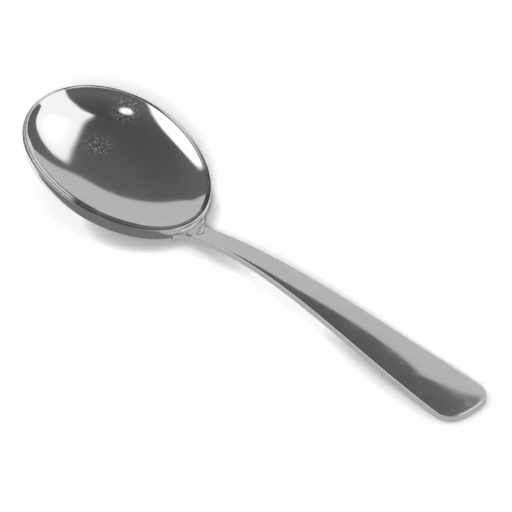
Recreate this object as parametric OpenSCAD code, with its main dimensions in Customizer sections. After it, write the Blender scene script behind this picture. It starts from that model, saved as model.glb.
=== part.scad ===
// Soup spoon in polished steel: a pressed bowl and a forged handle joined under the bowl's rim.
// +X runs along the handle, +Y across it and +Z up. The spoon lies as it rests on a table:
// the bowl's underside and the flat land under the handle's end both touch the level z = 0.

/* [Spoon] */
// Length over all
spoon_len = 185; // [165:1:205]

/* [Bowl] */
// Length along the rim
bowl_len = 66; // [56:0.5:76]
// Width at the widest place
bowl_w = 45.2; // [38:0.2:52]
// Depth of the outside below the rim
bowl_depth = 9.5; // [7:0.1:14]
// Angle that lifts the bowl's front
bowl_tilt = 13; // [6:0.5:16]
// Sheet thickness at the rim, which is rounded over
rim_wall = 0.6; // [0.4:0.05:1.5]
// Sheet thickness under the middle of the bowl
floor_wall = 1.8; // [1.2:0.1:2.6]
// How far the rim's front end dips below its middle
front_dip = 0.3; // [0:0.1:1.2]
// How far the rim's handle end dips below its middle
rear_dip = 0.6; // [0:0.1:1.2]

/* [Handle root] */
// Drop from the rim to the top of the root
root_drop = 2.6; // [2:0.1:3.2]
// Thickness of the root where it meets the wall
root_thick = 2; // [1.4:0.1:2.4]
// Width of the root where it meets the wall
root_w = 12; // [9:0.5:15]
// Length over which the root's fillet draws in
root_fillet = 3.6; // [2:0.1:6]
// Width of the shoulder behind the fillet
shoulder_w = 6.6; // [5:0.1:8]
// Length over which the shoulder draws in
shoulder_len = 13; // [8:0.5:20]
// Depth of the valley between the wall and the handle
valley_depth = 1.1; // [0:0.1:1.8]
// Length of the valley
valley_len = 6.8; // [4:0.1:9]
// Gap for the braze between the root and the bowl's wall
braze_gap = 0.05; // [0.04:0.01:0.2]

/* [Handle] */
// Width of the neck
neck_w = 5.2; // [4:0.1:8]
// Width at the handle's end
end_w = 16; // [12:0.2:22]
// Thickness at the edges
edge_thick = 2; // [1.4:0.1:3]
// Height of the top edge at the very end
end_height = 1.9; // [1.3:0.1:1.9]
// Rise of the arch above a straight handle
arch_rise = 4.7; // [3:0.1:9]
// Height of the crown along the middle of the top
crown_height = 0.45; // [0.2:0.05:1]
// Length over which the crown runs out at the end
crown_runout = 15; // [7:0.5:20]
// Drop of the top where it rolls off at the end
end_drop = 0.4; // [0:0.05:0.6]
// Length over which the top rolls off
drop_len = 11; // [7:0.5:16]
// Extra thickness under the middle of the neck
neck_belly = 0.8; // [0:0.1:1.2]
// Length of the rounded end
end_round = 7.5; // [4:0.1:9]
// Radius along the edges
edge_radius = 0.35; // [0.2:0.05:0.6]

/* [Hidden] */

// Form of the bowl: powers of the rim's outline at the front and at the handle, the share by
// which the outline narrows towards the handle, and powers of the floor and of the wall in the
// sections of the outside and of the inside, whose wall rises more gently up to the rim
front_power = 2.1;
rear_power = 1.95;
narrowing_share = 0.04;
outside_powers = [2.36, 0.6];
inside_powers = [2.5, 1.2];

// Form of the handle: powers of the arch, turn of the widening curve, power of the rounded end
arch_rear_power = 1.09;
arch_end_power = 2;
widening_turn = 72;
end_power = 2.8;
crown_power = 2;
runout_power = 2.5;
belly_power = 0.6;

// Shares of the handle's length where the crown starts and is full, and where the belly ends
crown_start_share = 0.02;
crown_full_share = 0.3;
belly_end_share = 0.45;
// Share of the rounded end by which the middle of its last section stays back
end_pull_share = 0.4;
// Multiple of the root's fillet over which the sections change from the wall's curve to straight
bend_share = 2.4;

// Number of steps in the meshes
bowl_sides = 108;
wall_steps = 14;
rim_steps = 6;
root_steps = 18;
shaft_steps = 44;
end_steps = 16;
cross_steps = 14;
side_rows = 4;

rim_radius = rim_wall / 2;
inside_depth = bowl_depth - floor_wall;

// Bowl in its own frame: x towards the handle, z up from the rim's middle, which is at zero

// Height of the rim's crest at the turn t
function rim_z(t) = -(cos(t) < 0 ? front_dip : rear_dip) * pow(cos(t), 2);

// Point of the rim's outline, drawn in by inset
function rim_xy(t, inset) =
    let (u = cos(t))
    let (power = u < 0 ? front_power : rear_power)
    let (width_share = sqrt(max(0, 1 - pow(abs(u), power))) * (1 - narrowing_share * u))
    [(bowl_len / 2 - inset) * u, (bowl_w / 2 - inset) * sign(sin(t)) * width_share];

// Point of a shell surface: phi is 0 at the middle of the floor and 90 at the top of the wall
function shell_point(t, phi, inset, depth, powers) =
    let (edge = rim_xy(t, inset))
    let (out = pow(sin(phi), 2 / powers[0]))
    let (down = (depth - rim_radius) * pow(cos(phi), powers[1]))
    [edge.x * out, edge.y * out, rim_z(t) * out * out - rim_radius - down];

// Turn of each mesh ring, closer together near the rim
function ring_phi(i) = 90 * (1 - pow(1 - i / wall_steps, 2));

// Turn of each mesh column
function column_turn(j) = 360 * j / bowl_sides;

// Bowl's own frame tipped back by the tilt
function tipped(p) =
    [p.x * cos(bowl_tilt) + p.z * sin(bowl_tilt), p.y, p.z * cos(bowl_tilt) - p.x * sin(bowl_tilt)];

// The bowl is shifted so that its front reaches the spoon's length and its lowest place is at zero
outside = [
    for (i = [1 : wall_steps], j = [0 : bowl_sides - 1])
        tipped(shell_point(column_turn(j), ring_phi(i), 0, bowl_depth, outside_powers))
];
bowl_x = -spoon_len / 2 - min([for (p = outside) p.x]);
bowl_z = -min([for (p = outside) p.z]);

function placed(p) = tipped(p) + [bowl_x, 0, bowl_z];

// Rings from the middle of the inside, up over the rim and down to the middle of the outside
inside_rings = [
    for (i = [1 : wall_steps])
        [for (j = [0 : bowl_sides - 1])
            placed(shell_point(column_turn(j), ring_phi(i), rim_wall, inside_depth, inside_powers))]
];
rim_rings = [
    for (i = [1 : rim_steps - 1])
        let (turn = 180 * i / rim_steps)
        [for (j = [0 : bowl_sides - 1])
            let (t = column_turn(j))
            let (edge = rim_xy(t, rim_radius * (1 + cos(turn))))
            placed([edge.x, edge.y, rim_z(t) - rim_radius * (1 - sin(turn))])]
];
outside_rings = [
    for (i = [wall_steps : -1 : 1])
        [for (j = [0 : bowl_sides - 1])
            placed(shell_point(column_turn(j), ring_phi(i), 0, bowl_depth, outside_powers))]
];
inside_pole = placed([0, 0, -inside_depth]);
outside_pole = placed([0, 0, -bowl_depth]);

module bowl() {
    rings = concat(inside_rings, rim_rings, outside_rings);
    last = len(rings) - 1;
    side = function (i, j) 1 + i * bowl_sides + j % bowl_sides;
    points = concat([inside_pole], [for (ring = rings, p = ring) p], [outside_pole]);
    inside_fan = [for (j = [0 : bowl_sides - 1]) [0, side(0, j + 1), side(0, j)]];
    outside_fan = [for (j = [0 : bowl_sides - 1]) [len(points) - 1, side(last, j), side(last, j + 1)]];
    walls = [
        for (i = [0 : last - 1], j = [0 : bowl_sides - 1])
            each [
                [side(i, j), side(i, j + 1), side(i + 1, j + 1)],
                [side(i, j), side(i + 1, j + 1), side(i + 1, j)]
            ]
    ];
    color("silver") polyhedron(points = points, faces = concat(inside_fan, walls, outside_fan));
}

// Handle: x runs from the rim's outside at the neck to the spoon's end

neck = placed([bowl_len / 2, 0, -rear_dip]);
handle_end = spoon_len / 2;
handle_len = handle_end - neck.x;
round_start = handle_end - end_round;
shaft_height = neck.z - root_drop + valley_depth;

// Smooth step from 0 to 1 between two places
function smooth(from, to, v) =
    let (k = min(1, max(0, (v - from) / (to - from))))
    k * k * (3 - 2 * k);

// A part that draws in to nothing over a length
function drawn_in(distance, length) = pow(max(0, 1 - max(0, distance) / length), 3);

// Height of the shaft: a straight line with the arch on it and the valley at the root
arch_peak_share = arch_rear_power / (arch_rear_power + arch_end_power);
function arch_form(s) = pow(s, arch_rear_power) * pow(1 - s, arch_end_power);
function handle_share(x) = min(1, max(0, (x - neck.x) / handle_len));
function shaft_z(x) =
    let (s = handle_share(x))
    let (straight = shaft_height + (end_height - shaft_height) * s)
    let (arch = arch_rise * arch_form(s) / arch_form(arch_peak_share))
    straight + arch - valley_depth * exp(-pow((x - neck.x) / valley_len, 2));

// Height of the top edge, which gains the drop along the handle and gives it back at the end
function edge_height(x) =
    let (roll = pow(max(0, x - handle_end + drop_len) / drop_len, 2))
    shaft_z(x) + end_drop * (handle_share(x) - roll);

// Half the width before the rounded end
function shaft_half(x) =
    let (far = x - neck.x)
    let (u = min(1, max(0, far / (round_start - neck.x))))
    let (widening = pow(sin(widening_turn * u) / sin(widening_turn), 2))
    (neck_w + (end_w - neck_w) * widening
        + (shoulder_w - neck_w) * drawn_in(far, shoulder_len)
        + (root_w - shoulder_w) * drawn_in(far, root_fillet)) / 2;

// Places of the sections: dense at the root and round the end
root_places = [for (i = [0 : root_steps - 1]) neck.x + shoulder_len * pow(i / root_steps, 1.6)];
shaft_places = [
    for (i = [0 : shaft_steps - 1])
        neck.x + shoulder_len + (round_start - neck.x - shoulder_len) * i / shaft_steps
];
places = concat(root_places, shaft_places);

// Outline of one side as [x, half width, outward x, outward y, x of the section's middle]
shaft_outline = [
    for (x = places)
        let (step = edge_radius / 2)
        let (slope = (shaft_half(x + step) - shaft_half(x - step)) / (2 * step))
        let (unit = sqrt(1 + slope * slope))
        [x, shaft_half(x), x == neck.x ? 0 : -slope / unit, x == neck.x ? 1 : 1 / unit, x]
];
end_outline = [
    for (i = [0 : end_steps])
        let (turn = 90 * i / end_steps)
        let (far = pow(sin(turn), 2 / end_power), wide = pow(cos(turn), 2 / end_power))
        let (half = shaft_half(round_start))
        let (nx = pow(far, end_power - 1) / end_round, ny = pow(wide, end_power - 1) / half)
        let (unit = sqrt(nx * nx + ny * ny))
        [round_start + end_round * far, half * wide, nx / unit, ny / unit,
            round_start + end_round * (1 - end_pull_share) * i / end_steps]
];
outline = concat(shaft_outline, end_outline);
last_section = len(outline) - 1;

// Contact line on the bowl's wall at the turn t and a drop below the rim, grown by the braze gap
function wall_phi(drop) = acos(pow((drop - rim_radius) / (bowl_depth - rim_radius), 1 / outside_powers[1]));
function wall_point(t, drop) =
    placed(shell_point(t, wall_phi(drop), -braze_gap, bowl_depth + braze_gap, outside_powers));

// Turn along the rim at which the wall is as wide as the root
root_turn = asin(min(1, (root_w + 2 * braze_gap) / bowl_w));

// Section points run from v = -1 to 1 across the top, down the side, back and up the other side
function crown_at(x, v) =
    let (full = smooth(crown_start_share, crown_full_share, handle_share(x)))
    let (runout = max(0, 1 - pow(max(0, x - handle_end + crown_runout) / crown_runout, runout_power)))
    crown_height * full * runout * (1 - pow(abs(v), crown_power));

function belly_at(x, v) =
    let (s = min(1, handle_share(x) / belly_end_share))
    neck_belly * pow(sin(180 * pow(s, belly_power)), 2) * (1 - v * v);

// Height of the root's top edge, and how strongly a section still follows the wall's curve
neck_top = edge_height(neck.x);
function bend_at(x) = 1 - smooth(0, bend_share * root_fillet, x - neck.x);

function top_z(x, v) =
    let (wall = wall_point(v * root_turn, root_drop))
    edge_height(x) + crown_at(x, v) + bend_at(x) * (wall.z - neck_top);

function bottom_z(x, v) =
    let (wall = wall_point(v * root_turn, root_drop + root_thick))
    let (under = shaft_z(x) - edge_thick - belly_at(x, v))
    max(0, under + bend_at(x) * (wall.z - neck_top + edge_thick));

// Place in plan of the share v of a section, drawn in from the outline by inset
function plan(o, v, inset) =
    let (bend = bend_at(o[4]))
    let (wall = wall_point(v * root_turn, root_drop))
    let (tip = [o[0] - o[2] * inset * (1 - bend), o[1] - o[3] * inset])
    [o[4] + (tip.x - o[4]) * abs(v) + bend * (wall.x - neck.x), tip.y * v];

function top_point(o, v) = let (p = plan(o, v, edge_radius)) [p.x, p.y, top_z(p.x, v)];
function bottom_point(o, v) = let (p = plan(o, v, edge_radius)) [p.x, p.y, bottom_z(p.x, v)];

// The side's rows: round the top edge, down the flat and round the lower edge
function side_point(o, v, row) =
    let (p = plan(o, v, edge_radius), q = plan(o, v, 0))
    let (top = top_z(p.x, v), bottom = bottom_z(p.x, v), turn = row % 3 == 0 ? 45 : 90)
    let (out = 1 - sin(turn), fall = edge_radius * (row < 2 ? 1 - cos(turn) : cos(turn) - 1))
    [q.x + (p.x - q.x) * out, q.y + (p.y - q.y) * out, (row < 2 ? top : bottom) - fall];

cross = [for (k = [0 : cross_steps]) 2 * k / cross_steps - 1];

function section(o) = concat(
    [for (v = cross) top_point(o, v)],
    [for (row = [0 : side_rows - 1]) side_point(o, 1, row)],
    [for (v = cross) bottom_point(o, -v)],
    [for (row = [side_rows - 1 : -1 : 0]) side_point(o, -1, row)]
);

// The first section lies on the bowl's wall, row by row from the top to the bottom
root_rows = [
    for (row = [0 : side_rows + 1])
        [for (v = cross) wall_point(v * root_turn, root_drop + root_thick * row / (side_rows + 1))]
];
root_section = concat(
    root_rows[0],
    [for (row = [1 : side_rows]) root_rows[row][cross_steps]],
    [for (k = [cross_steps : -1 : 0]) root_rows[side_rows + 1][k]],
    [for (row = [side_rows : -1 : 1]) root_rows[row][0]]
);

module handle() {
    sections = concat([root_section], [for (i = [1 : last_section]) section(outline[i])]);
    around = len(root_section);
    cap = [for (row = [1 : side_rows], k = [1 : cross_steps - 1]) root_rows[row][k]];
    points = concat([for (s = sections, p = s) p], cap);

    // The last section folds on to the middle plane, so its two sides share their points
    top_middle = cross_steps / 2;
    bottom_middle = cross_steps + side_rows + 1 + top_middle;
    folded = function (k)
        k < top_middle ? cross_steps - k
        : k <= bottom_middle ? k
        : 2 * bottom_middle - k;
    index = function (i, k)
        let (m = (k + around) % around)
        i * around + (i == last_section ? folded(m) : m);

    // Each four corners are split the same way on both sides of the middle plane
    leans = function (k) (k >= top_middle && k < cross_steps) || k >= bottom_middle;
    skin = [
        for (i = [0 : last_section - 1], k = [0 : around - 1])
            let (a = index(i, k), b = index(i, k + 1), c = index(i + 1, k + 1), d = index(i + 1, k))
            each (leans(k) ? [[a, b, d], [b, c, d]] : [[a, c, d], [a, b, c]])
    ];

    // Corner of the root's face at a row and a column
    corner = function (row, k)
        row == 0 ? k
        : row == side_rows + 1 ? 2 * cross_steps + side_rows + 1 - k
        : k == cross_steps ? cross_steps + row
        : k == 0 ? around - row
        : len(sections) * around + (row - 1) * (cross_steps - 1) + k - 1;
    face = [
        for (row = [0 : side_rows], k = [0 : cross_steps - 1])
            each [
                [corner(row, k), corner(row + 1, k + 1), corner(row, k + 1)],
                [corner(row, k), corner(row + 1, k), corner(row + 1, k + 1)]
            ]
    ];
    whole = [for (f = concat(skin, face)) if (f[0] != f[1] && f[1] != f[2] && f[2] != f[0]) f];
    color("gainsboro") polyhedron(points = points, faces = whole);
}

bowl();
handle();
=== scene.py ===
"""Soup spoon in polished steel: fine meshes, materials, studio and camera."""
import bpy
import math
import numpy as np
from mathutils import Matrix, Vector


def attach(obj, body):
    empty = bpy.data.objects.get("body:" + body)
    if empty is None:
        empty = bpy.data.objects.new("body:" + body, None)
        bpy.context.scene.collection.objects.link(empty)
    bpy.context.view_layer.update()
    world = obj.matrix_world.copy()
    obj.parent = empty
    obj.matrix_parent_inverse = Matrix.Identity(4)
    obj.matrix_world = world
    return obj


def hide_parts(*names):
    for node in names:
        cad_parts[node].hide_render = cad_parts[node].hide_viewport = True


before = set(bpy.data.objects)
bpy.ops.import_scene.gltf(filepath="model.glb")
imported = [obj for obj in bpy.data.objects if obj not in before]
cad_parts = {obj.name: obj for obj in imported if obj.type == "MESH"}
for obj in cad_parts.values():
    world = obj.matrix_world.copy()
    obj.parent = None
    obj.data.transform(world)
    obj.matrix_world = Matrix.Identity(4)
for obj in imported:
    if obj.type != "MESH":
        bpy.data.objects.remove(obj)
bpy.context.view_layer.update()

# ---- shape begins
MM = 0.001

# Sizes of the spoon in millimetres. They are those of the solid model, but for the lip, the edge radius,
# the length of the valley, the crown, the droop and the edge roll, which are set for what the steel mirrors
SPOON_LEN = 185.0
BOWL_LEN = 66.0
BOWL_W = 45.2
BOWL_DEPTH = 9.5
BOWL_TILT = math.radians(13.0)
RIM_WALL = 0.6
LIP_WALL = 0.26
LIP_REACH = 0.55
FLOOR_WALL = 1.8
FRONT_DIP = 0.3
REAR_DIP = 0.6
ROOT_DROP = 2.6
ROOT_THICK = 2.0
ROOT_W = 12.0
ROOT_FILLET = 3.6
SHOULDER_W = 6.6
SHOULDER_LEN = 13.0
VALLEY_DEPTH = 1.1
VALLEY_LEN = 5.2
BRAZE_GAP = 0.05
NECK_W = 5.2
END_W = 16.0
EDGE_THICK = 2.0
END_HEIGHT = 1.9
ARCH_RISE = 4.7
CROWN_HEIGHT = 0.47
CROWN_RUNOUT = 19.0
END_DROP = 0.5
DROP_LEN = 20.0
NECK_BELLY = 0.8
END_ROUND = 7.5
EDGE_RADIUS = 0.15
EDGE_ROLL, ROLL_WIDTH, ROLL_FADE, ROLL_END = 0.045, 0.6, 0.2, 0.5

# Powers and shares of the form
FRONT_POWER, REAR_POWER, NARROWING = 2.1, 1.95, 0.04
OUTSIDE_POWERS = (2.36, 0.6)
INSIDE_POWERS = (2.5, 1.2)
ARCH_REAR_POWER, ARCH_END_POWER = 1.09, 2.0
WIDENING_TURN = math.radians(72.0)
END_POWER, CROWN_POWER, BELLY_POWER = 2.8, 2.0, 0.6
CROWN_START, CROWN_FULL, BELLY_END = 0.02, 0.3, 0.45
END_PULL, BEND_SHARE = 0.4, 2.4
RUNOUT_POWER = 2.0

RIM_RADIUS = RIM_WALL / 2
INSIDE_DEPTH = BOWL_DEPTH - FLOOR_WALL


def rim_z(t):
    c = np.cos(t)
    return -np.where(c < 0, FRONT_DIP, REAR_DIP) * c * c


def rim_xy(t, inset):
    u = np.cos(t)
    power = np.where(u < 0, FRONT_POWER, REAR_POWER)
    width = np.sqrt(np.maximum(0, 1 - np.abs(u) ** power)) * (1 - NARROWING * u)
    return (BOWL_LEN / 2 - inset) * u, (BOWL_W / 2 - inset) * np.sign(np.sin(t)) * width


def shell_point(t, phi, inset, depth, powers):
    x, y = rim_xy(t, inset)
    out = np.sin(phi) ** (2 / powers[0])
    down = (depth - RIM_RADIUS) * np.maximum(np.cos(phi), 0) ** powers[1]
    return np.stack([x * out, y * out, rim_z(t) * out * out - RIM_RADIUS - down], -1)


def inside_point(t, phi):
    """The inside, drawn outwards near its edge so that the lip is thin and never quite upright."""
    steep = max(0, 1 - math.cos(phi) / LIP_REACH) ** 2
    point = shell_point(t, phi, RIM_WALL - (RIM_WALL - LIP_WALL) * steep, INSIDE_DEPTH, INSIDE_POWERS)
    point[..., 2] += (RIM_WALL - LIP_WALL) / 2 * steep
    return point


def tipped(p):
    c, s = math.cos(BOWL_TILT), math.sin(BOWL_TILT)
    return np.stack([p[..., 0] * c + p[..., 2] * s, p[..., 1], p[..., 2] * c - p[..., 0] * s], -1)


def bowl_offset():
    t, phi = np.meshgrid(np.linspace(0, 2 * np.pi, 721), np.linspace(0, np.pi / 2, 400))
    p = tipped(shell_point(t, phi, 0, BOWL_DEPTH, OUTSIDE_POWERS))
    return np.array([-SPOON_LEN / 2 - p[..., 0].min(), 0, -p[..., 2].min()])


BOWL_OFFSET = bowl_offset()


def placed(p):
    return tipped(p) + BOWL_OFFSET


NECK = placed(np.array([BOWL_LEN / 2, 0, -REAR_DIP]))
HANDLE_END = SPOON_LEN / 2
HANDLE_LEN = HANDLE_END - NECK[0]
ROUND_START = HANDLE_END - END_ROUND
SHAFT_HEIGHT = NECK[2] - ROOT_DROP + VALLEY_DEPTH
ARCH_PEAK = ARCH_REAR_POWER / (ARCH_REAR_POWER + ARCH_END_POWER)


def smooth(start, stop, v):
    k = np.clip((v - start) / (stop - start), 0, 1)
    return k * k * (3 - 2 * k)


def drawn_in(distance, length):
    return np.maximum(0, 1 - np.maximum(0, distance) / length) ** 3


def arch_form(s):
    return s ** ARCH_REAR_POWER * (1 - s) ** ARCH_END_POWER


def handle_share(x):
    return np.clip((x - NECK[0]) / HANDLE_LEN, 0, 1)


def shaft_z(x):
    s = handle_share(x)
    straight = SHAFT_HEIGHT + (END_HEIGHT - SHAFT_HEIGHT) * s
    arch = ARCH_RISE * arch_form(s) / arch_form(ARCH_PEAK)
    return straight + arch - VALLEY_DEPTH * np.exp(-np.maximum(0, x - NECK[0]) / VALLEY_LEN)


def edge_height(x):
    roll = (np.maximum(0, x - HANDLE_END + DROP_LEN) / DROP_LEN) ** 2
    return shaft_z(x) + END_DROP * (handle_share(x) - roll)


def shaft_half(x):
    far = x - NECK[0]
    u = np.clip(far / (ROUND_START - NECK[0]), 0, 1)
    widening = (np.sin(WIDENING_TURN * u) / math.sin(WIDENING_TURN)) ** 2
    return (NECK_W + (END_W - NECK_W) * widening
            + (SHOULDER_W - NECK_W) * drawn_in(far, SHOULDER_LEN)
            + (ROOT_W - SHOULDER_W) * drawn_in(far, ROOT_FILLET)) / 2


def wall_point(t, drop):
    phi = np.arccos(((drop - RIM_RADIUS) / (BOWL_DEPTH - RIM_RADIUS)) ** (1 / OUTSIDE_POWERS[1]))
    return placed(shell_point(t, phi, -BRAZE_GAP, BOWL_DEPTH + BRAZE_GAP, OUTSIDE_POWERS))


ROOT_TURN = math.asin((ROOT_W + 2 * BRAZE_GAP) / BOWL_W)
NECK_TOP = float(edge_height(NECK[0]))


def crown_at(x, v):
    full = smooth(CROWN_START, CROWN_FULL, handle_share(x))
    runout = np.maximum(0, 1 - (np.maximum(0, x - HANDLE_END + CROWN_RUNOUT) / CROWN_RUNOUT) ** RUNOUT_POWER)
    return CROWN_HEIGHT * full * runout * (1 - np.abs(v) ** CROWN_POWER)


def belly_at(x, v):
    s = np.minimum(1, handle_share(x) / BELLY_END)
    return NECK_BELLY * np.sin(np.pi * s ** BELLY_POWER) ** 2 * (1 - v * v)


def bend_at(x):
    return 1 - smooth(0, BEND_SHARE * ROOT_FILLET, x - NECK[0])


def edge_roll(x, v):
    """How far the last of the top falls away before the edge, along the arch only."""
    inward = (1 - np.abs(v)) * shaft_half(x)
    fade = (1 - bend_at(x)) * (1 - smooth(ROLL_FADE, ROLL_END, handle_share(x)))
    return EDGE_ROLL * np.maximum(0, 1 - inward / ROLL_WIDTH) ** 2 * fade


def top_z(x, v):
    wall = wall_point(v * ROOT_TURN, ROOT_DROP)
    return edge_height(x) + crown_at(x, v) - edge_roll(x, v) + bend_at(x) * (wall[..., 2] - NECK_TOP)


def bottom_z(x, v):
    wall = wall_point(v * ROOT_TURN, ROOT_DROP + ROOT_THICK)
    under = shaft_z(x) - EDGE_THICK - belly_at(x, v)
    return np.maximum(0, under + bend_at(x) * (wall[..., 2] - NECK_TOP + EDGE_THICK))


def bowl_rings(columns=360, wall_steps=90, rim_steps=14):
    """Rings from the inside's middle over the rim to the outside's middle, in millimetres."""
    t = np.arange(columns) * 2 * np.pi / columns
    share = 1 - (1 - np.arange(1, wall_steps + 1) / wall_steps) ** 2
    inside = [placed(inside_point(t, f * np.pi / 2)) for f in share]
    rim = []
    lip = LIP_WALL / 2
    for i in range(2, rim_steps):
        turn = np.pi * i / rim_steps
        x, y = rim_xy(t, lip * (1 + math.cos(turn)))
        rim.append(placed(np.stack([x, y, rim_z(t) - lip * (1 - math.sin(turn))], -1)))
    outside = [placed(shell_point(t, f * np.pi / 2, 0, BOWL_DEPTH, OUTSIDE_POWERS)) for f in share[::-1]]
    poles = placed(np.array([0, 0, -INSIDE_DEPTH])), placed(np.array([0, 0, -BOWL_DEPTH]))
    return inside + rim + outside, poles


def handle_outline(root_steps=70, shaft_steps=200, end_steps=60):
    """Rows of x, half width, outward x, outward y and the x of the section's middle."""
    root = NECK[0] + SHOULDER_LEN * (np.arange(root_steps) / root_steps) ** 1.6
    shaft = np.linspace(NECK[0] + SHOULDER_LEN, ROUND_START, shaft_steps, endpoint=False)
    x = np.concatenate([root, shaft])
    step = EDGE_RADIUS / 2
    slope = (shaft_half(x + step) - shaft_half(x - step)) / (2 * step)
    unit = np.sqrt(1 + slope ** 2)
    nx, ny = -slope / unit, 1 / unit
    nx[0], ny[0] = 0, 1
    rows = np.stack([x, shaft_half(x), nx, ny, x], -1)
    turn = np.linspace(0, np.pi / 2, end_steps + 1)
    far, wide = np.sin(turn) ** (2 / END_POWER), np.cos(turn) ** (2 / END_POWER)
    wide[-1] = 0
    half = shaft_half(ROUND_START)
    nx, ny = far ** (END_POWER - 1) / END_ROUND, wide ** (END_POWER - 1) / half
    unit = np.sqrt(nx ** 2 + ny ** 2)
    middle = ROUND_START + END_ROUND * (1 - END_PULL) * np.linspace(0, 1, end_steps + 1)
    end = np.stack([ROUND_START + END_ROUND * far, half * wide, nx / unit, ny / unit, middle], -1)
    return np.concatenate([rows, end])


def plan(o, v, inset):
    bend = bend_at(o[4])
    wall = wall_point(v * ROOT_TURN, ROOT_DROP)
    tip_x = o[0] - o[2] * inset * (1 - bend)
    tip_y = o[1] - o[3] * inset
    return o[4] + (tip_x - o[4]) * np.abs(v) + bend * (wall[..., 0] - NECK[0]), tip_y * v


def handle_section(o, cross, turns):
    """One closed section: across the top, down one side, back underneath and up the other side."""
    px, py = plan(o, cross, EDGE_RADIUS)
    top = np.stack([px, py, top_z(px, cross)], -1)
    bottom = np.stack([px, py, bottom_z(px, cross)], -1)[::-1]
    sides = []
    for side in (1.0, -1.0):
        v = np.array(side)
        ax, ay = plan(o, v, EDGE_RADIUS)
        bx, by = plan(o, v, 0)
        high, low = top_z(ax, v), bottom_z(ax, v)
        out, fall = 1 - np.sin(turns), EDGE_RADIUS * (1 - np.cos(turns))
        x, y = bx + (ax - bx) * out, by + (ay - by) * out
        upper = np.stack([x, y, high - fall], -1)
        lower = np.stack([x, y, low + fall], -1)[::-1]
        rows = np.concatenate([upper, lower])
        sides.append(rows if side > 0 else rows[::-1])
    return np.concatenate([top, sides[0], bottom, sides[1]])


def root_face(cross, rows):
    """Rows of points on the bowl's wall, where the root is joined."""
    drops = ROOT_DROP + ROOT_THICK * np.linspace(0, 1, rows + 2)
    return np.stack([wall_point(cross * ROOT_TURN, d) for d in drops])
# ---- shape ends


def new_object(name, points, faces, node):
    mesh = bpy.data.meshes.new(name)
    mesh.from_pydata([tuple(p) for p in np.asarray(points) * MM], [], faces)
    mesh.validate()
    mesh.polygons.foreach_set("use_smooth", [True] * len(mesh.polygons))
    mesh.update()
    obj = bpy.data.objects.new(name, mesh)
    bpy.context.scene.collection.objects.link(obj)
    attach(obj, "root")
    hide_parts(node)
    return obj


def make_bowl():
    rings, (inner, outer) = bowl_rings()
    n = len(rings[0])
    points = np.concatenate([[inner]] + rings + [[outer]])
    faces = [(0, 1 + (j + 1) % n, 1 + j)[::-1] for j in range(n)]
    for i in range(len(rings) - 1):
        a, b = 1 + i * n, 1 + (i + 1) * n
        faces += [(a + j, b + j, b + (j + 1) % n, a + (j + 1) % n) for j in range(n)]
    last, end = 1 + (len(rings) - 1) * n, len(points) - 1
    faces += [(end, last + (j + 1) % n, last + j) for j in range(n)]
    return new_object("spoon_bowl", points, faces, "bowl")


EVEN_SHARE = 0.35


def make_handle(cross_steps=60, edge_rows=7):
    turn = np.linspace(-np.pi / 2, np.pi / 2, cross_steps + 1)
    cross = EVEN_SHARE * turn / (np.pi / 2) + (1 - EVEN_SHARE) * np.sin(turn)
    turns = np.linspace(0, np.pi / 2, edge_rows + 1)[1:]
    side_rows = 2 * edge_rows
    face_rows = root_face(cross, side_rows)
    first = np.concatenate([face_rows[0], face_rows[1:-1, -1], face_rows[-1][::-1],
                            face_rows[1:-1, 0][::-1]])
    outline = handle_outline()
    sections = [first] + [handle_section(o, cross, turns) for o in outline[1:]]
    around = len(first)
    top_middle = cross_steps // 2
    bottom_middle = cross_steps + side_rows + 1 + top_middle
    last = len(sections) - 1

    def index(i, k):
        m = k % around
        if i == last:
            if m < top_middle:
                m = cross_steps - m
            elif m > bottom_middle:
                m = 2 * bottom_middle - m
        return i * around + m

    points = list(np.concatenate(sections))
    faces = []
    for i in range(last):
        for k in range(around):
            quad = [index(i, k), index(i, k + 1), index(i + 1, k + 1), index(i + 1, k)]
            faces.append(tuple(dict.fromkeys(quad)))
    start = len(points)
    width = cross_steps - 1
    for row in range(1, side_rows + 1):
        points += list(face_rows[row, 1:-1])

    def corner(row, k):
        if row == 0:
            return k
        if row == side_rows + 1:
            return 2 * cross_steps + side_rows + 1 - k
        if k == cross_steps:
            return cross_steps + row
        if k == 0:
            return around - row
        return start + (row - 1) * width + k - 1

    for row in range(side_rows + 1):
        for k in range(cross_steps):
            faces.append((corner(row, k), corner(row + 1, k), corner(row + 1, k + 1), corner(row, k + 1)))
    faces = [f for f in faces if len(f) > 2]
    return new_object("spoon_handle", points, faces, "handle")


def node_at(tree, kind, x, y, **values):
    node = tree.nodes.new(kind)
    node.location = (x, y)
    for key, value in values.items():
        setattr(node, key, value)
    return node


# Polished steel. Lengths in metres, noise scales per metre
STEEL_GREY = (0.635, 0.675)
STEEL_ROUGHNESS = (0.065, 0.105)
CLOUD_SCALE, CLOUD_DETAIL = 140.0, 4.0
NOISE_LOW, NOISE_HIGH = 0.3, 0.7
LINE_SCALES = (120.0, 2600.0, 2600.0)
LINE_STRENGTH, LINE_HEIGHT = 0.3, 0.000002
DUST_GREY = 0.5
GRAIN_SCALE, GRAIN_SHARE, GRAIN_RADIUS = 700.0, 0.02, 0.12
HAZE_SCALE, HAZE_SHARE, HAZE_GRAIN = 2200.0, 0.5, 0.4
HAZE_PLACES = ((-0.0736, 0.0028, 0.0092), (-0.0762, 0.0165, 0.0135))
HAZE_RADIUS, HAZE_COVER = 0.006, 0.8
ROW = 200


def ranged(tree, x, y, source, low, high):
    """A noise value spread over the range from low to high."""
    spread = node_at(tree, "ShaderNodeMapRange", x, y)
    spread.inputs["From Min"].default_value = NOISE_LOW
    spread.inputs["From Max"].default_value = NOISE_HIGH
    spread.inputs["To Min"].default_value = low
    spread.inputs["To Max"].default_value = high
    tree.links.new(source, spread.inputs["Value"])
    return spread.outputs["Result"]


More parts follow.
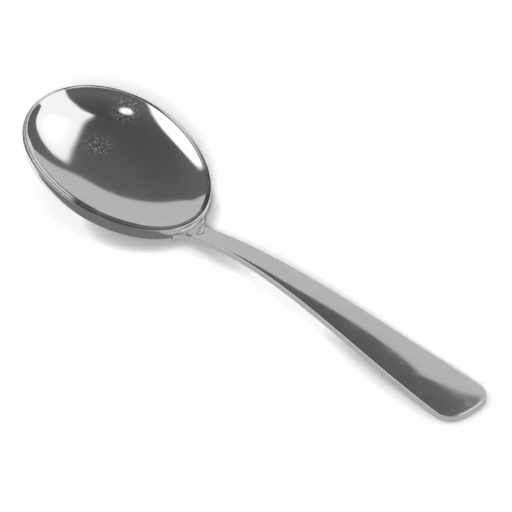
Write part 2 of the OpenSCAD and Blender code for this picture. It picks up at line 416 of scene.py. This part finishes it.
def specks(tree, y, place, scale, share, radius):
    """One in every so many small cells carries a round grain."""
    cells = node_at(tree, "ShaderNodeTexVoronoi", -600, y)
    cells.inputs["Scale"].default_value = scale
    pick = node_at(tree, "ShaderNodeSeparateColor", -420, y - 120)
    chosen = node_at(tree, "ShaderNodeMath", -260, y - 120, operation="LESS_THAN")
    small = node_at(tree, "ShaderNodeMath", -260, y, operation="LESS_THAN")
    grain = node_at(tree, "ShaderNodeMath", -100, y, operation="MULTIPLY")
    chosen.inputs[1].default_value = share
    small.inputs[1].default_value = radius
    tree.links.new(place, cells.inputs["Vector"])
    tree.links.new(cells.outputs["Color"], pick.inputs[0])
    tree.links.new(pick.outputs[0], chosen.inputs[0])
    tree.links.new(cells.outputs["Distance"], small.inputs[0])
    tree.links.new(small.outputs[0], grain.inputs[0])
    tree.links.new(chosen.outputs[0], grain.inputs[1])
    return grain.outputs[0]


def steel_material():
    mat = bpy.data.materials.new("polished_steel")
    mat.use_nodes = True
    tree = mat.node_tree
    tree.nodes.clear()
    out = node_at(tree, "ShaderNodeOutputMaterial", 800, 0)
    steel = node_at(tree, "ShaderNodeBsdfPrincipled", 300, 0)
    steel.inputs["Metallic"].default_value = 1.0
    place = node_at(tree, "ShaderNodeTexCoord", -1200, 0).outputs["Object"]
    cloud = node_at(tree, "ShaderNodeTexNoise", -900, 0)
    cloud.inputs["Scale"].default_value = CLOUD_SCALE
    cloud.inputs["Detail"].default_value = CLOUD_DETAIL
    tree.links.new(place, cloud.inputs["Vector"])
    grey = ranged(tree, -600, 200, cloud.outputs["Fac"], *STEEL_GREY)
    tree.links.new(grey, steel.inputs["Base Color"])
    rough = ranged(tree, -600, 0, cloud.outputs["Fac"], *STEEL_ROUGHNESS)
    tree.links.new(rough, steel.inputs["Roughness"])
    # Hair-fine polishing lines along the spoon
    stretch = node_at(tree, "ShaderNodeVectorMath", -1050, -300, operation="MULTIPLY")
    stretch.inputs[1].default_value = LINE_SCALES
    lines = node_at(tree, "ShaderNodeTexNoise", -850, -300)
    lines.inputs["Scale"].default_value = 1.0
    relief = node_at(tree, "ShaderNodeBump", -300, -300)
    relief.inputs["Strength"].default_value = LINE_STRENGTH
    relief.inputs["Distance"].default_value = LINE_HEIGHT
    tree.links.new(place, stretch.inputs[0])
    tree.links.new(stretch.outputs[0], lines.inputs["Vector"])
    tree.links.new(lines.outputs["Fac"], relief.inputs["Height"])
    tree.links.new(relief.outputs[0], steel.inputs["Normal"])
    # Dust: single grains everywhere, and many in two hazy patches of the bowl
    dust = specks(tree, -600, place, GRAIN_SCALE, GRAIN_SHARE, GRAIN_RADIUS)
    many = specks(tree, -900, place, HAZE_SCALE, HAZE_SHARE, HAZE_GRAIN)
    for k, centre in enumerate(HAZE_PLACES):
        y = -1200 - ROW * k
        reach = node_at(tree, "ShaderNodeVectorMath", -600, y, operation="DISTANCE")
        reach.inputs[1].default_value = centre
        fade = node_at(tree, "ShaderNodeMapRange", -400, y)
        fade.inputs["From Min"].default_value = HAZE_RADIUS
        fade.inputs["From Max"].default_value = 0.0
        fade.inputs["To Max"].default_value = HAZE_COVER
        part = node_at(tree, "ShaderNodeMath", -200, y, operation="MULTIPLY")
        both = node_at(tree, "ShaderNodeMath", 0, y, operation="MAXIMUM")
        tree.links.new(place, reach.inputs[0])
        tree.links.new(reach.outputs["Value"], fade.inputs["Value"])
        tree.links.new(fade.outputs["Result"], part.inputs[0])
        tree.links.new(many, part.inputs[1])
        tree.links.new(dust, both.inputs[0])
        tree.links.new(part.outputs[0], both.inputs[1])
        dust = both.outputs[0]
    powder = node_at(tree, "ShaderNodeBsdfDiffuse", 300, -300)
    powder.inputs["Color"].default_value = (DUST_GREY, DUST_GREY, DUST_GREY, 1)
    mix = node_at(tree, "ShaderNodeMixShader", 600, 0)
    tree.links.new(dust, mix.inputs[0])
    tree.links.new(steel.outputs[0], mix.inputs[1])
    tree.links.new(powder.outputs[0], mix.inputs[2])
    tree.links.new(mix.outputs[0], out.inputs[0])
    return mat


steel = steel_material()
for piece in (make_bowl(), make_handle()):
    piece.data.materials.append(steel)

# Studio. Azimuths count in degrees to the left from the direction straight away from the camera
AZ, EL, ROLL = math.radians(54.41), math.radians(36.18), math.radians(7.50)
FAR_AZIMUTH = AZ + math.pi / 2
BOWL_PLACE = (-0.06, 0.0, 0.008)
CORNER_KEEP = 0.8
FADE_STEPS = 8


def direction(azimuth, elevation):
    a, e = FAR_AZIMUTH + math.radians(azimuth), math.radians(elevation)
    return np.array([math.cos(a) * math.cos(e), math.sin(a) * math.cos(e), math.sin(e)])


def glow_material(name, strength):
    """Light that fades out to nothing where the attribute glow falls to zero."""
    mat = bpy.data.materials.new(name)
    mat.use_nodes = True
    tree = mat.node_tree
    tree.nodes.clear()
    out = node_at(tree, "ShaderNodeOutputMaterial", 600, 0)
    mix = node_at(tree, "ShaderNodeMixShader", 400, 0)
    share = node_at(tree, "ShaderNodeAttribute", 0, 200, attribute_name="glow")
    clear = node_at(tree, "ShaderNodeBsdfTransparent", 0, 0)
    glow = node_at(tree, "ShaderNodeEmission", 0, -200)
    glow.inputs["Strength"].default_value = strength
    tree.links.new(share.outputs["Fac"], mix.inputs[0])
    tree.links.new(clear.outputs[0], mix.inputs[1])
    tree.links.new(glow.outputs[0], mix.inputs[2])
    tree.links.new(mix.outputs[0], out.inputs[0])
    return mat


def rounded(corners, times=3):
    """Corners of an outline cut off again and again, which rounds it."""
    points = np.array(corners, float)
    for _ in range(times):
        after = np.roll(points, -1, axis=0)
        near, far = CORNER_KEEP * points, CORNER_KEEP * after
        points = np.stack([near + (1 - CORNER_KEEP) * after, (1 - CORNER_KEEP) * points + far], 1)
        points = points.reshape(-1, 2)
    return points


def soft_card(name, points, strength, soft):
    """A flat glowing card that only reflections see; its light fades over the share soft at the edge."""
    points = np.array(points)
    n, centre = len(points), points.mean(0)
    levels = np.concatenate([[1 - soft], 1 - soft + soft * np.linspace(0, 1, FADE_STEPS + 1)[1:]])
    shares = np.clip((1 - levels) / soft, 0, 1)
    shares = shares * shares * (3 - 2 * shares)
    verts, glow = [centre], [1.0]
    for level, share in zip(levels, shares):
        verts += list(centre + (points - centre) * level)
        glow += [share] * n
    faces = [(0, 1 + j, 1 + (j + 1) % n) for j in range(n)]
    for i in range(len(levels) - 1):
        a, b = 1 + i * n, 1 + (i + 1) * n
        faces += [(a + j, b + j, b + (j + 1) % n, a + (j + 1) % n) for j in range(n)]
    mesh = bpy.data.meshes.new(name)
    mesh.from_pydata([tuple(v) for v in verts], [], faces)
    mesh.attributes.new("glow", "FLOAT", "POINT").data.foreach_set("value", glow)
    mesh.materials.append(glow_material(name, strength))
    obj = bpy.data.objects.new(name, mesh)
    bpy.context.scene.collection.objects.link(obj)
    obj.visible_camera = False
    obj.visible_shadow = False
    obj.visible_diffuse = False
    return obj


def sky_card(name, facing, distance, strength, soft, corners):
    """A card whose corners stand at the given azimuths and elevations as the bowl sees them."""
    axis = direction(*facing)
    rays = [direction(*corner) for corner in rounded(corners)]
    points = [np.array(BOWL_PLACE) + ray * distance / (ray @ axis) for ray in rays]
    return soft_card(name, points, strength, soft)


# Name, azimuth and elevation that the card faces, distance in metres, strength, soft share and corners
sky_card("far_card", (0, 0), 2.0, 0.68, 0.04,
         [(-46, -12), (-45, 8), (-42, 22), (-35, 34), (-28, 43), (-15, 47), (-2, 49), (10, 49), (20, 46),
          (33, 35), (38, 27), (41, 14), (42, -12)])
sky_card("side_softbox", (-90, 38), 0.5, 1.36, 0.1,
         [(-28, 45), (-34, 64), (-62, 81), (-90, 84), (-126, 71), (-137, 57), (-145, 35), (-149, 12),
          (-149, -12), (-97, -11), (-97, 12), (-97, 21), (-86, 27), (-68, 29), (-50, 36), (-36, 40)])
sky_card("hot_spot", (-60, 52), 0.45, 1.7, 0.95,
         [(-30, 50), (-40, 72), (-80, 72), (-92, 50), (-75, 36), (-45, 38)])
sky_card("strip_softbox", (131, 66), 1.6, 1.7, 0.45,
         [(131, 77), (121, 74), (119, 65), (124, 58), (130, 55), (138, 60), (143, 67), (142, 75)])
sky_card("low_light", (-43, 0), 1.2, 1.2, 0.35,
         [(-35, -12), (-35, 4), (-38, 13), (-46, 15), (-52, 8), (-53, -12)])
sky_card("left_softbox", (85, 25), 0.5, 1.6, 0.22,
         [(57, -12), (58, 14), (58, 35), (65, 48), (78, 55), (91, 55), (103, 50), (113, 39), (116, 21),
          (117, -12)])

# The table as the steel sees it: dark in front of the bowl and towards the camera, a little grey by the
# handle. Corners in millimetres
SHADE_LIFT = 0.00015


def table_card(name, lift, strength, soft, corners):
    soft_card(name, [(x * MM, y * MM, lift) for x, y in rounded(corners)], strength, soft)


# Painted shade: dim glowing cards for the table in the spoon's shadow, seen only in reflections
table_card("bowl_shade", 2 * SHADE_LIFT, 0.24, 0.03,
           [(-92, -27), (-82, -28), (-74, -27), (-66, -24), (-60, -20), (-54, -10), (-44, -2), (-34, 8),
            (-29, 4), (-28, -8), (-27, -18), (-22, -32), (20, -90), (60, -200), (20, -420), (-200, -420),
            (-260, -200), (-150, -60)])
table_card("handle_shade", SHADE_LIFT, 0.62, 0.15,
           [(-58, -10), (-20, 24), (60, 24), (116, 20), (116, -26), (60, -30), (-20, -40), (-58, -40)])

# Floor: white paper lit by the lamps, with light of its own that fades close to the spoon
FLOOR_HALF = 0.55
PAPER_GREY = 0.8
PAPER_GLOW = 0.5
SHADE_REACH, SHADE_POWER = 0.005, 2.4


def floor_paper():
    mat = bpy.data.materials.new("floor_paper")
    mat.use_nodes = True
    tree = mat.node_tree
    tree.nodes.clear()
    out = node_at(tree, "ShaderNodeOutputMaterial", 600, 0)
    both = node_at(tree, "ShaderNodeAddShader", 400, 0)
    paper = node_at(tree, "ShaderNodeBsdfDiffuse", 200, 100)
    paper.inputs["Color"].default_value = (PAPER_GREY, PAPER_GREY, PAPER_GREY, 1)
    lift = node_at(tree, "ShaderNodeEmission", 200, -100)
    path = node_at(tree, "ShaderNodeLightPath", -400, -100)
    seen = node_at(tree, "ShaderNodeMath", -200, -100, operation="MAXIMUM")
    seen_all = node_at(tree, "ShaderNodeMath", -50, -100, operation="MAXIMUM")
    share = node_at(tree, "ShaderNodeMath", 80, -100, operation="MULTIPLY")
    # Painted contact shadow: ambient occlusion dims the paper's own light close to the spoon
    near = node_at(tree, "ShaderNodeAmbientOcclusion", -400, -300, samples=12)
    near.inputs["Distance"].default_value = SHADE_REACH
    deep = node_at(tree, "ShaderNodeMath", -200, -300, operation="POWER")
    deep.inputs[1].default_value = SHADE_POWER
    lit = node_at(tree, "ShaderNodeMath", -50, -300, operation="MULTIPLY")
    lit.inputs[1].default_value = PAPER_GLOW
    tree.links.new(near.outputs["AO"], deep.inputs[0])
    tree.links.new(deep.outputs[0], lit.inputs[0])
    tree.links.new(lit.outputs[0], share.inputs[1])
    tree.links.new(path.outputs["Is Camera Ray"], seen.inputs[0])
    tree.links.new(path.outputs["Is Glossy Ray"], seen.inputs[1])
    tree.links.new(seen.outputs[0], seen_all.inputs[0])
    tree.links.new(path.outputs["Is Transmission Ray"], seen_all.inputs[1])
    tree.links.new(seen_all.outputs[0], share.inputs[0])
    tree.links.new(share.outputs[0], lift.inputs["Strength"])
    tree.links.new(paper.outputs[0], both.inputs[0])
    tree.links.new(lift.outputs[0], both.inputs[1])
    tree.links.new(both.outputs[0], out.inputs[0])
    return mat


def make_floor(half):
    mesh = bpy.data.meshes.new("floor")
    corners = [(-half, -half, 0), (half, -half, 0), (half, half, 0), (-half, half, 0)]
    mesh.from_pydata(corners, [], [(0, 1, 2, 3)])
    mesh.materials.append(floor_paper())
    obj = bpy.data.objects.new("floor", mesh)
    bpy.context.scene.collection.objects.link(obj)


make_floor(FLOOR_HALF)

# Room: dim, a little lighter near the horizon, as the steel sees it. The camera sees white behind the floor.
# Stops: place from straight down (0) to straight up (1), and grey
ROOM_STOPS = ((0.0, 0.15), (0.5, 0.17), (0.75, 0.16), (0.9, 0.12), (1.0, 0.10))


def make_room():
    world = bpy.data.worlds.new("studio")
    bpy.context.scene.world = world
    world.use_nodes = True
    tree = world.node_tree
    background = tree.nodes["Background"]
    coordinates = node_at(tree, "ShaderNodeTexCoord", -800, 0)
    split = node_at(tree, "ShaderNodeSeparateXYZ", -600, 0)
    ramp = node_at(tree, "ShaderNodeValToRGB", -400, 0)
    tree.links.new(coordinates.outputs["Generated"], split.inputs[0])
    tree.links.new(split.outputs["Z"], ramp.inputs[0])
    tree.links.new(ramp.outputs[0], background.inputs["Color"])
    elements = ramp.color_ramp.elements
    while len(elements) < len(ROOM_STOPS):
        elements.new(0.5)
    for element, (place, grey) in zip(elements, ROOM_STOPS):
        element.position = place
        element.color = (grey, grey, grey, 1)
    background.inputs["Strength"].default_value = 1.0
    backdrop = node_at(tree, "ShaderNodeBackground", -200, -200)
    backdrop.inputs["Color"].default_value = (1, 1, 1, 1)
    backdrop.inputs["Strength"].default_value = 1.0
    seen_by = node_at(tree, "ShaderNodeLightPath", -200, 400)
    choice = node_at(tree, "ShaderNodeMixShader", 150, 0)
    tree.links.new(seen_by.outputs["Is Camera Ray"], choice.inputs[0])
    tree.links.new(background.outputs[0], choice.inputs[1])
    tree.links.new(backdrop.outputs[0], choice.inputs[2])
    tree.links.new(choice.outputs[0], tree.nodes["World Output"].inputs["Surface"])


make_room()


# Lamps for the floor: a strong one by the camera, which hides its shadow behind the spoon, and a weak one
# high up on the far side. Neither shows in the steel
def floor_lamp(name, azimuth, elevation, distance, size, energy):
    data = bpy.data.lights.new(name, "AREA")
    data.shape = "DISK"
    data.size = size
    data.energy = energy
    lamp = bpy.data.objects.new(name, data)
    place = direction(azimuth, elevation) * distance
    lamp.location = place
    lamp.rotation_euler = Vector(place).to_track_quat("Z", "Y").to_euler()
    lamp.visible_glossy = False
    bpy.context.scene.collection.objects.link(lamp)


floor_lamp("key_light", 174, 34, 3.0, 0.7, 76.0)
floor_lamp("top_light", 40, 74, 1.5, 0.7, 3.0)
bpy.context.scene.cycles.caustics_reflective = False

# Camera fitted to the photograph
DIST, PX_PER_MM, SHIFT_RIGHT, SHIFT_UP = 1527.0, 3.53, 0.92, 5.93
PHOTO_PX, SENSOR = 512, 36.0
right = np.array([math.cos(AZ), math.sin(AZ), 0])
up = np.array([-math.sin(AZ) * math.sin(EL), math.cos(AZ) * math.sin(EL), math.cos(EL)])
back = np.array([math.sin(AZ) * math.cos(EL), -math.cos(AZ) * math.cos(EL), math.sin(EL)])
place = (SHIFT_RIGHT * right + SHIFT_UP * up + DIST * back) * MM
cam_x = math.cos(ROLL) * right - math.sin(ROLL) * up
cam_y = math.sin(ROLL) * right + math.cos(ROLL) * up
camera_data = bpy.data.cameras.new("camera")
camera_data.sensor_width = SENSOR
camera_data.lens = PX_PER_MM * DIST * SENSOR / PHOTO_PX
camera_data.clip_end = 20
camera = bpy.data.objects.new("camera", camera_data)
axes = [[cam_x[i], cam_y[i], back[i], place[i]] for i in range(3)]
camera.matrix_world = Matrix(axes + [[0, 0, 0, 1]])
bpy.context.scene.collection.objects.link(camera)
bpy.context.scene.camera = camera
bpy.context.scene.view_settings.view_transform = "Standard"
